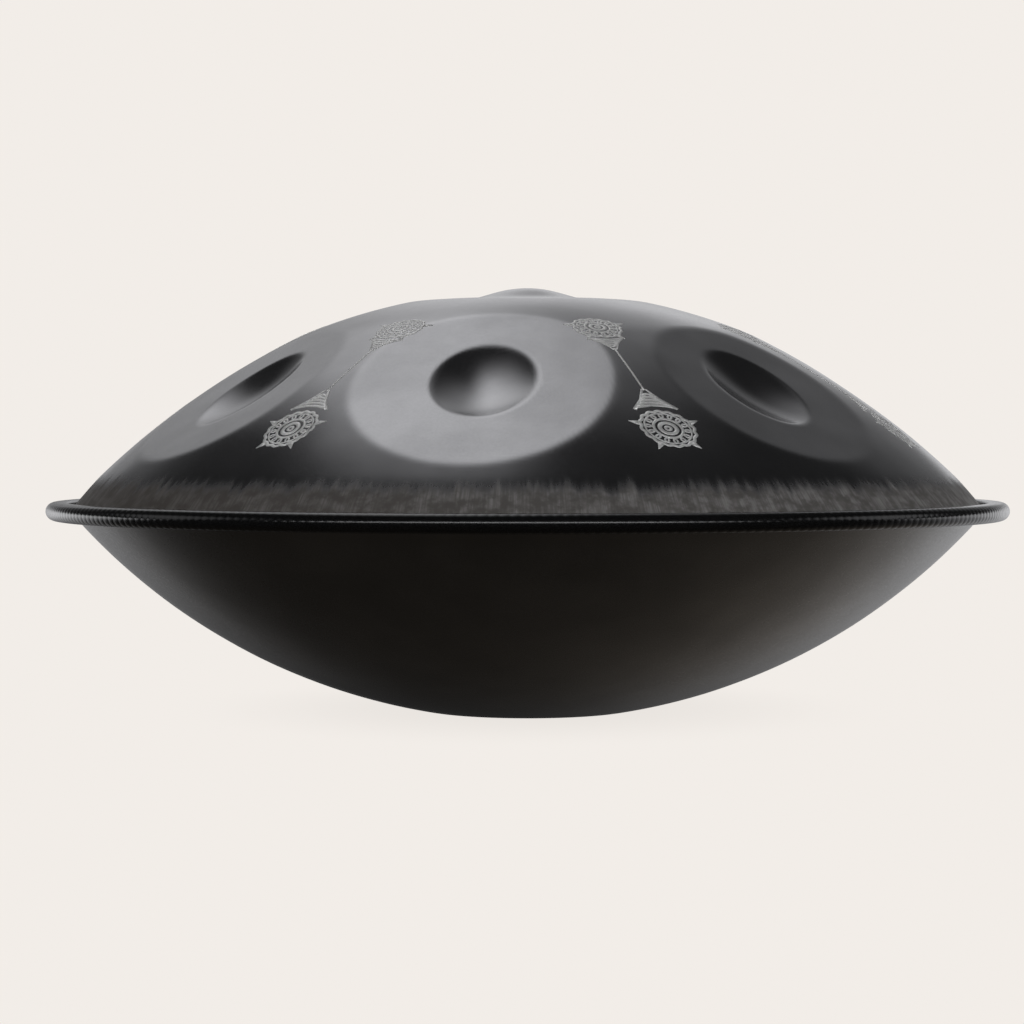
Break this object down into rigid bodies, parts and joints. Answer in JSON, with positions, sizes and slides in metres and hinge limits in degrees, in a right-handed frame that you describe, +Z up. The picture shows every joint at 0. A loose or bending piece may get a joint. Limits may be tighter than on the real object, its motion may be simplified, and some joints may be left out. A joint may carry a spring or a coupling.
{
  "type": "handpan",
  "caption": "Lens-shaped steel hand drum with a raised centre dome, a ring of dimpled tone fields, a clipped black edge trim and a rolled sound port underneath.",
  "frame": {"origin": "on the axis of both shells, in the plane of the resting face under the port's roll", "axes": "+Z up through the centre dome, -Y towards the largest tone field"},
  "size_m": [0.53, 0.53, 0.2339],
  "materials": {
    "nitrided_steel": "gas-nitrided sheet, satin grey, brushed bare at the foot of the dome",
    "dark_steel": "nitrided nearly black, smooth satin",
    "adhesive": "black structural adhesive",
    "trim_rubber": "black ribbed soft PVC with a slight gloss",
    "spring_steel": "plain spring steel strip"
  },
  "bodies": {
    "root": {"top_shell": "nitrided_steel", "bottom_shell": "dark_steel", "adhesive_ring": "adhesive", "rim_trim": "trim_rubber", "trim_clips": "spring_steel"}
  },
  "joints": []
}
